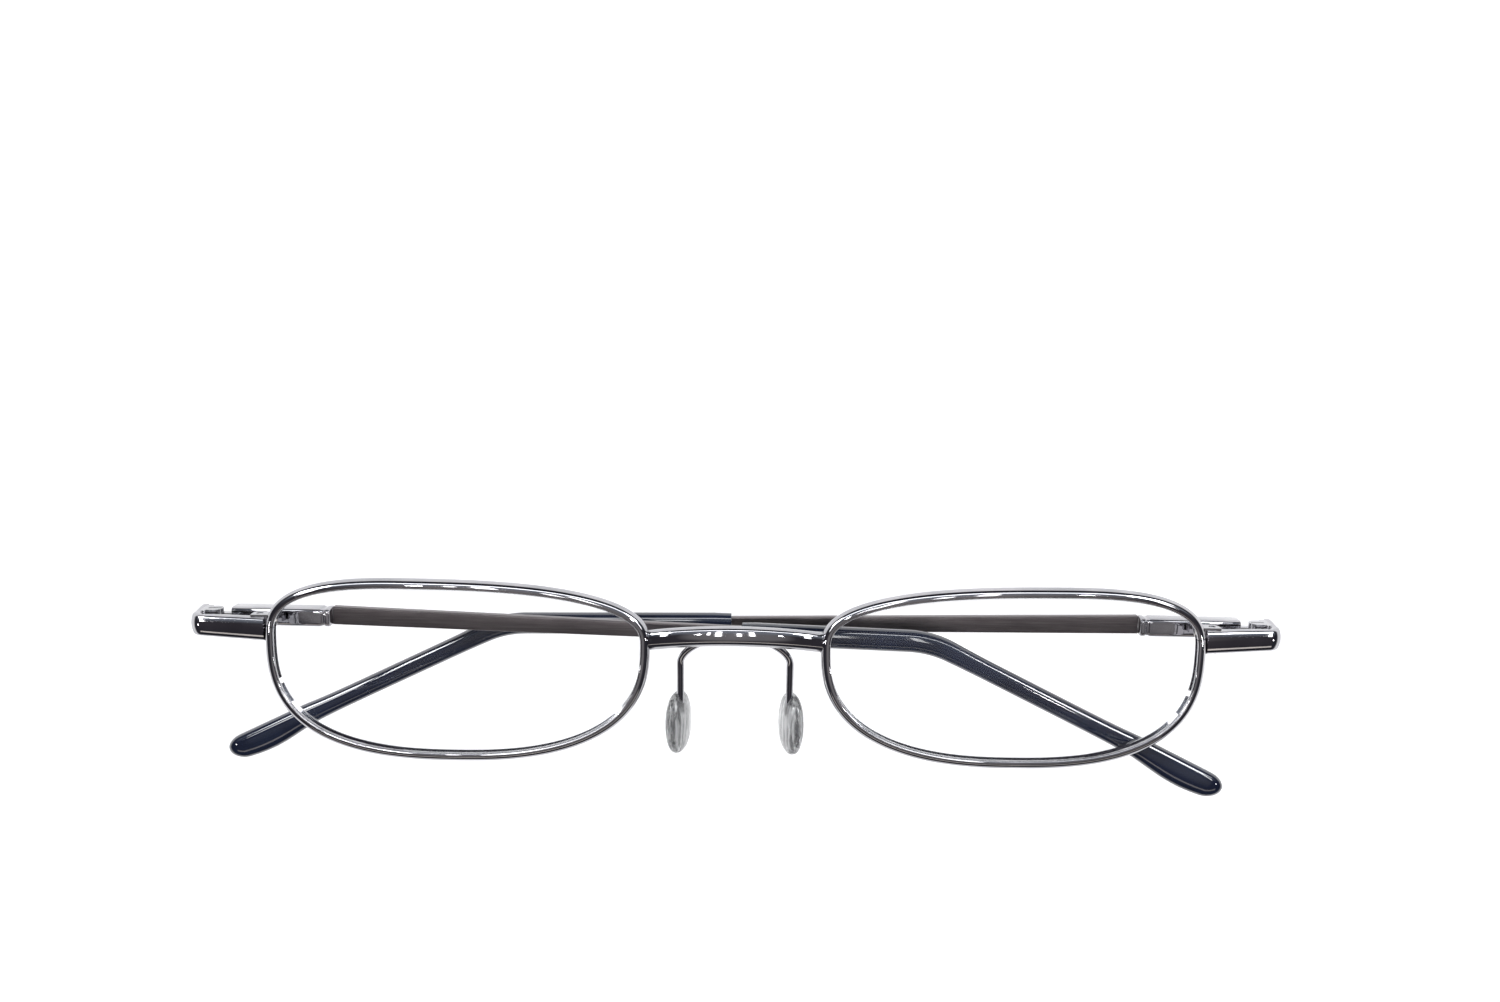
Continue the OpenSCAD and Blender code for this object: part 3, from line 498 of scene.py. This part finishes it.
def bridge():
    reach, half = math.asin((RIM_GAP / 2 + BRIDGE_IN_RIM) / BRIDGE_R), 32
    path = []
    for i in range(2 * half + 1):
        a = reach * (i / half - 1)
        drop = BRIDGE_R * (1 - math.cos(a))
        path.append(Vector((BRIDGE_R * math.sin(a), BRIDGE_UP - drop * math.sin(BRIDGE_LEAN),
                            BRIDGE_Z - drop * math.cos(BRIDGE_LEAN))))
    low, top = [crowned(BRIDGE_T, BRIDGE_H, END_CROWN, edge) for edge in (BRIDGE_LOW_EDGE, BRIDGE_TOP_EDGE)]
    section = [a if a[1] < 0 else b for a, b in zip(low, top)]
    rings = sweep(path, [section] * len(path), Vector((0, 1, 0)))
    dress(loft("bridge_bar", rings), "front", "bridge", "frame")


def pad_arm(side, word):
    """Wire from behind the bridge, round a bend and down into the pad."""
    fall = BRIDGE_R - math.sqrt(BRIDGE_R ** 2 - ARM_ROOT_X ** 2)
    root = Vector((ARM_ROOT_X, BRIDGE_UP - BRIDGE_H / 5,
                   BRIDGE_Z - fall * math.cos(BRIDGE_LEAN) - BRIDGE_T / 2 - ARM_D / 2 - ARM_GAP))
    knee = Vector((ARM_X, -ARM_KNEE_DROP, -ARM_KNEE_BACK))
    end = Vector((ARM_X, ARM_END_UP - PAD_DROP, ARM_END_FRONT - PAD_BACK))
    path = bezier(root, root + Vector((1.9, -0.7, -0.5)), knee - 0.25 * (end - knee), knee, 40)
    path += [knee.lerp(end, i / 12) for i in range(1, 13)]
    ring = oval(ARM_D / 2, ARM_D / 2, 2, 20)
    sizes = [0.75, 0.93] + [1.0] * (len(path) - 3) + [0.8]
    rings = sweep(path, [[(u * k, v * k) for u, v in ring] for k in sizes], Vector((0, 0.2, 1)))
    dress(loft("pad_wire_" + word, mirrored(rings, side)), "front", "pad_arm_" + word, "frame")


def nose_pad(side, word):
    """Ovals stacked down the pad's height, smaller towards both ends."""
    centre, stack, steepest = Vector((ARM_X + PAD_OUT, -PAD_DROP, -PAD_BACK)), 32, 88
    turn = Matrix.Rotation(math.radians(PAD_LEAN), 3, "Z") @ Matrix.Rotation(math.radians(PAD_SPLAY), 3, "Y") \
        @ Matrix.Rotation(math.radians(90), 3, "X")
    rings = []
    for j in range(stack + 1):
        v = -steepest + 2 * steepest * j / stack
        s = cosd(v) ** 0.75
        rings.append([centre + turn @ Vector((x, y, PAD_H / 2 * sind(v)))
                      for x, y in oval(PAD_T / 2 * s, PAD_W / 2 * s, 2.5, 48)])
    dress(loft("soft_pad_" + word, mirrored(rings, side)), "pad_" + word, "nose_pad_" + word, "pad")


RIM_Z_SIDE = form_z(RIM_W / 2, RIM_DROP)


def end_piece(side, word):
    """Bar that runs outwards from the rim, turns the corner and goes back as the leg that holds the hinge."""
    arm_steps, corner_steps, leg_steps = 12, 15, 6
    leg_x, turn = FRONT_W / 2 - END_T / 2, 90 - END_SWEEP
    cx, edge_x = leg_x - CORNER_R, RIM_X + RIM_W / 2
    run = cx + CORNER_R * cosd(turn) - edge_x
    front_z = RIM_Z_SIDE + WIRE_D / 2 - END_STEP
    cz = front_z - END_T / 2 / cosd(END_SWEEP) - CORNER_R * sind(turn) - run * math.tan(math.radians(END_SWEEP))
    arm_l = (run - 0.02) / cosd(END_SWEEP)
    path = []
    tip = Vector((cx + CORNER_R * cosd(turn), 0, cz + CORNER_R * sind(turn)))
    back = Vector((-sind(turn), 0, cosd(turn)))
    for i in range(arm_steps + 1):
        path.append(tip + back * arm_l * (1 - i / arm_steps))
    for i in range(1, corner_steps):
        a = turn * (1 - i / corner_steps)
        path.append(Vector((cx + CORNER_R * cosd(a), 0, cz + CORNER_R * sind(a))))
    for i in range(leg_steps + 1):
        path.append(Vector((leg_x, 0, cz + (-PIN_BACK - HEEL + 0.001 - cz) * i / leg_steps)))
    leg_start = arm_steps + corner_steps
    rings = []
    for i, (p, d) in enumerate(zip(path, along(path))):
        up, out = Vector((0, 1, 0)), Vector((-d.z, 0, d.x))
        low = END_LOW + END_SINK * (1 - smooth((i - leg_start) / leg_steps))
        flare = 1 + END_FLARE * max(1 - i / arm_steps, 0)
        ring = [p + out * u + up * (v * (flare if v < 0 else 1) - low)
                for u, v in crowned(END_T, END_H, END_CROWN, END_EDGE, arc=14)]
        if p.x < edge_x + LOCK_REACH:  # the lock is behind the bar here
            ring = [Vector((q.x, q.y, max(q.z, RIM_Z_SIDE + LOCK_RISE))) for q in ring]
        rings.append(ring)
    dress(loft("end_bar_" + word, mirrored(rings, side)), "front", "end_piece_" + word, "frame")


# ---- temples


def from_pin(side, p):
    """Point of a temple, along, inwards and up from its hinge pin, moved into the folded pose."""
    a = FOLD_TILT[side]
    x, z = -p[0], p[1]
    return Vector((side * (PIN_X + x * cosd(a) + z * sind(a)), p[2], -PIN_BACK - x * sind(a) + z * cosd(a)))


HOUSING_TO = HEEL + HOUSING_L
BAR_Y = -(PIN_IN - BAR_T / 2)
CELL_Y = -(PIN_IN - HOUSING_T / 2)


def housing(side, word):
    """Box with eased ends, a bevel, a shallow groove and a collar; each station has how far its sides are set in."""
    collar, waist, bevel = 0.8, 0.35, 0.4
    groove_from, collar_from = HOUSING_TO - collar - waist, HOUSING_TO - collar
    bevel_from = groove_from - bevel
    stations = [(HEEL + 0.02, 0.13), (HEEL + 0.06, 0.06), (HEEL + 0.15, 0.0),
                (bevel_from, 0.0), (bevel_from + 0.14, 0.01),
                (groove_from - 0.08, 0.05), (groove_from, 0.1), (groove_from + 0.04, 0.12),
                (collar_from - 0.04, 0.12), (collar_from, 0.1), (collar_from + 0.1, 0.04), (collar_from + 0.22, 0.02),
                (HOUSING_TO - 0.2, 0.02), (HOUSING_TO - 0.07, 0.08), (HOUSING_TO, 0.2)]
    rings = []
    for x, inset in stations:
        section = box_section(HOUSING_T - 2 * inset, HOUSING_H - 2 * inset, 0.62 - 0.6 * inset)
        rings.append([from_pin(side, (x, CELL_Y + u, v)) for u, v in section])
    dress(loft("spring_housing_" + word, rings), "temple_" + word, "hinge_housing_" + word, "frame")


def coil_spring(side, word):
    """The hidden spring inside the housing, drawn at its full length."""
    r, steps = (SPRING_D - SPRING_WIRE) / 2, 24
    total = SPRING_TURNS * steps
    rings = []
    for i in range(total + 1):
        a = 2 * math.pi * i / steps
        x = SPRING_FROM + SPRING_WIRE / 2 + (SPRING_L - SPRING_WIRE) * i / total
        y, z = math.cos(a), math.sin(a)
        rings.append([from_pin(side, (x - v, CELL_Y + (r + u) * y, (r + u) * z))
                      for u, v in oval(SPRING_WIRE / 2, SPRING_WIRE / 2, 2, 12)])
    made = dress(loft("coil_spring_" + word, rings), "temple_" + word, "hinge_spring_" + word, "steel")
    start, end = [from_pin(side, (x, CELL_Y, 0)) for x in (SPRING_FROM, SPRING_FROM + SPRING_L)]
    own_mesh(made)


def bend_start(side):
    """Where the temple's bend starts, from the housing's end."""
    return BEND[side] - HOUSING_TO - BEND_R * math.tan(math.radians(DROP_ANGLE / 2))


BEND_ARC = BEND_R * math.radians(DROP_ANGLE)


def path_end(side):
    return bend_start(side) + BEND_ARC + DROP_LEN - BEND_R * math.tan(math.radians(DROP_ANGLE / 2))


def on_path(side, u, section):
    """Ring at u along the temple behind its housing: inwards and up from the path's line."""
    a = min(max((u - bend_start(side)) / BEND_ARC, 0), 1) * DROP_ANGLE
    past = max(u - bend_start(side) - BEND_ARC, 0)
    x = min(u, bend_start(side)) + BEND_R * sind(a) + past * cosd(a)
    z = -BEND_R * (1 - cosd(a)) - past * sind(a)
    ring = []
    for y, h in section:
        px, pz = x + h * sind(a), z + h * cosd(a)
        ring.append(from_pin(side, (HOUSING_TO + px * cosd(SLOPE) + pz * sind(SLOPE), BAR_Y + y,
                                    -px * sind(SLOPE) + pz * cosd(SLOPE))))
    return ring


MOUTH = (TIP_FROM_PIN - HOUSING_TO) / cosd(SLOPE)


def temple_bar(side, word):
    """Flat bar from the housing to the tip's mouth, lower towards the tip."""
    rings, steps, gap = [], 39, 0.03
    for i in range(steps + 1):
        u = gap + (MOUTH - 2 * gap) * i / steps
        h = BAR_H_FRONT + (BAR_H_BACK - BAR_H_FRONT) * u / MOUTH
        rings.append(on_path(side, u, box_section(BAR_T, h, 0.2)))
    dress(loft("flat_bar_" + word, rings), "temple_" + word, "temple_bar_" + word, "temple")


def temple_tip(side, word):
    """Oval sleeve along the bend: a lip at its mouth, a waist behind the bend and a paddle with a round end."""
    end, start = path_end(side), bend_start(side)
    stations = [MOUTH + (start - MOUTH) * i / 12 for i in range(12)] + [start + BEND_ARC * i / 16 for i in range(16)]
    first = start + BEND_ARC
    stations += [first + (end - TIP_ROUND - first) * i / 26 for i in range(26)]
    stations += [end - TIP_ROUND + TIP_ROUND * sind(a) for a in (0, 15, 30, 42, 54, 64, 72, 79, 85)]
    rings = []
    for u in stations:
        d = (u - end + PADDLE_FROM_END) / PADDLE_SPREAD
        waist = smooth((u - start) / (BEND_ARC + WAIST_RUN))
        high = TIP_H + (TIP_WAIST_H - TIP_H) * waist + (PADDLE_H - TIP_WAIST_H) * math.exp(-d * d)
        up = min(high, TIP_H) / 2
        down = high - up
        e = max(u - end + TIP_ROUND, 0) / TIP_ROUND
        k = math.sqrt(max(1 - e * e, 0.01))
        lip = 1 - LIP_SHARE * max(0, 1 - (u - MOUTH) / LIP_L)
        section = [(x * k * lip, y * (up if y > 0 else down) * k * lip) for x, y in oval(TIP_T / 2, 1, 2.2, 40)]
        rings.append(on_path(side, u, section))
    dress(loft("ear_tip_" + word, rings), "temple_" + word, "temple_tip_" + word, "tip")


for word, side in SIDES.items():
    eyewire(side, word)
    lens(side, word)
    pad_arm(side, word)
    nose_pad(side, word)
    end_piece(side, word)
    housing(side, word)
    coil_spring(side, word)
    temple_bar(side, word)
    temple_tip(side, word)
bridge()


# ---- table, light and camera


def lamp(name, direction, distance, size, power, colour=(1, 1, 1)):
    """An area lamp that faces the glasses: a disc, or a panel whose width runs along them. Metres and watts."""
    data = bpy.data.lights.new(name, "AREA")
    data.shape = "RECTANGLE" if isinstance(size, tuple) else "DISK"
    if isinstance(size, tuple):
        data.size, data.size_y = size
    else:
        data.size = size
    data.energy, data.color = power, colour
    made = bpy.data.objects.new(name, data)
    d = Vector(direction).normalized()
    across = (Vector((1, 0, 0)) - d.x * d).normalized()
    made.matrix_world = Matrix.Translation(d * distance + Vector((0, 0, 0.01))) \
        @ Matrix((across, d.cross(across), d)).transposed().to_4x4()
    bpy.context.scene.collection.objects.link(made)


def table():
    """A white floor, so far down that the temples can open over it, lifted a little where it is seen."""
    half = 2.4
    z = -(PIN_BACK + HOUSING_TO + path_end(1) + 3)
    corners = [Vector((x / MM, y / MM, z)) for x, y in ((-half, -half), (half, -half), (half, half), (-half, half))]
    made = build("table", corners, [(0, 1, 2, 3)])
    f = Finish(bpy.data.materials.new("white_table"))
    path = f.node("ShaderNodeLightPath", {}, {})
    seen = Value(f, path.outputs["Is Camera Ray"]).at_least(Value(f, path.outputs["Is Glossy Ray"]))
    seen = seen.at_least(Value(f, path.outputs["Is Transmission Ray"]))
    fabric = f.noise((40, 40, 40), 1)
    lit = f.node("ShaderNodeBsdfDiffuse", {}, {"Color": f.blend(fabric, (0.84, 0.84, 0.84), (0.86, 0.86, 0.86))})
    spot = f.node("ShaderNodeTexCoord", {}, {}).outputs["Object"]
    away = f.value("ShaderNodeVectorMath", {"operation": "LENGTH"}, {0: spot}, "Value")
    lift = f.blend(away.above(0.15, 1.1), (0.52, 0.52, 0.52), (1, 1, 1))
    shown = f.node("ShaderNodeMix", {"data_type": "RGBA"}, {0: seen, 6: (0, 0, 0, 1), 7: lift}).outputs[2]
    glow = f.node("ShaderNodeEmission", {}, {"Color": shown, "Strength": 1.0})
    both = f.node("ShaderNodeAddShader", {}, {0: lit.outputs[0], 1: glow.outputs[0]})
    made.data.materials.append(f.finish(both.outputs[0]))


def room():
    """White low down, as the table runs on, dark walls over it and a dull ceiling, paler on its far side."""
    world = bpy.data.worlds.new("studio")
    bpy.context.scene.world = world
    f = Finish(world)
    up = f.node("ShaderNodeTexCoord", {}, {}).outputs["Generated"]
    way = f.node("ShaderNodeSeparateXYZ", {}, {0: up})
    height, far = Value(f, way.outputs["Z"]), Value(f, way.outputs["Y"])
    walls = f.node("ShaderNodeValToRGB", {"stops": [
        (0.0, (1, 1, 1)), (0.09, (1, 1, 1)), (0.14, (0.05, 0.05, 0.06)), (0.45, (0.03, 0.03, 0.04)),
        (0.82, (0.06, 0.055, 0.065)), (0.90, (0.24, 0.23, 0.235)), (1.0, (0.28, 0.27, 0.28))]},
        {"Fac": height.at_least(0.0)})
    panel = far.above(0.05, 0.35) * (1 - far.above(0.62, 0.80)) * height.above(0.3, 0.6)
    shade = f.node("ShaderNodeMix", {"data_type": "RGBA"}, {0: panel, 6: walls.outputs[0], 7: (0.31, 0.34, 0.39, 1)})
    path = f.node("ShaderNodeLightPath", {}, {})
    bounces = Value(f, path.outputs["Glossy Depth"]) + Value(f, path.outputs["Diffuse Depth"])
    inside = Value(f, path.outputs["Transmission Depth"])
    through = Value(f, path.outputs["Is Transmission Ray"]) - bounces * inside.above(2.5, 3.5)
    seen = Value(f, path.outputs["Is Camera Ray"]).at_least(through)
    sight = f.node("ShaderNodeMix", {"data_type": "RGBA"}, {0: seen, 6: shade.outputs[2], 7: (1, 1, 1, 1)})
    sky = f.node("ShaderNodeBackground", {}, {"Color": sight.outputs[2], "Strength": 1.0})
    f.node("ShaderNodeOutputWorld", {}, {"Surface": sky.outputs[0]})


def camera():
    """The photograph's view, for a picture of 1500 by 1002."""
    sensor, picture_w, focal = 36, 1500, 1316.4
    data = bpy.data.cameras.new("camera")
    data.sensor_width, data.lens = sensor, sensor * focal / picture_w
    data.clip_start = 0.005
    made = bpy.data.objects.new("camera", data)
    aim = Matrix.Rotation(math.radians(0.07), 4, "Y") @ Matrix.Rotation(math.radians(-10.43), 4, "X") \
        @ Matrix.Rotation(math.radians(0.8), 4, "Z")
    made.matrix_world = Matrix.Translation((Vector((1.9, 49.1, 168.6)) + OFFSET) * MM) @ aim
    bpy.context.scene.collection.objects.link(made)
    bpy.context.scene.camera = made


table()
room()
camera()
DAYLIGHT, WARM = (0.97, 0.98, 1.0), (1.0, 0.93, 0.84)
lamp("strip_far", (0.0, 0.62, 0.785), 0.7, (1.7, 0.10), 2.4, DAYLIGHT)
lamp("window_right", (-0.73, 0.42, 0.54), 0.6, (0.14, 0.14), 0.7, DAYLIGHT)
lamp("window_left", (0.66, 0.44, 0.61), 0.6, (0.13, 0.14), 0.65, DAYLIGHT)
lamp("strip_near", (0.0, -0.72, 0.694), 0.7, (1.2, 0.08), 0.3, WARM)
# The small lamps that glint on the wires: x and y of each one's direction, its size and its power.
BULBS = [(-0.70, 0.22, (0.045, 0.18), 0.14), (-0.38, 0.12, 0.03, 0.10), (-0.18, 0.16, (0.04, 0.30), 0.17),
         (0.03, 0.06, (0.03, 0.16), 0.07), (0.16, 0.16, (0.035, 0.24), 0.12), (0.44, 0.10, 0.03, 0.10),
         (0.69, 0.22, (0.045, 0.18), 0.14), (-0.80, -0.15, 0.035, 0.14), (0.80, -0.15, 0.035, 0.14),
         (-0.28, 0.16, (0.02, 0.14), 0.05)]
for number, (x, y, size, power) in enumerate(BULBS):
    lamp("bulb_%d" % number, (x, y, math.sqrt(1 - x * x - y * y)), 0.6, size, power)
bpy.context.scene.view_settings.view_transform = "Standard"
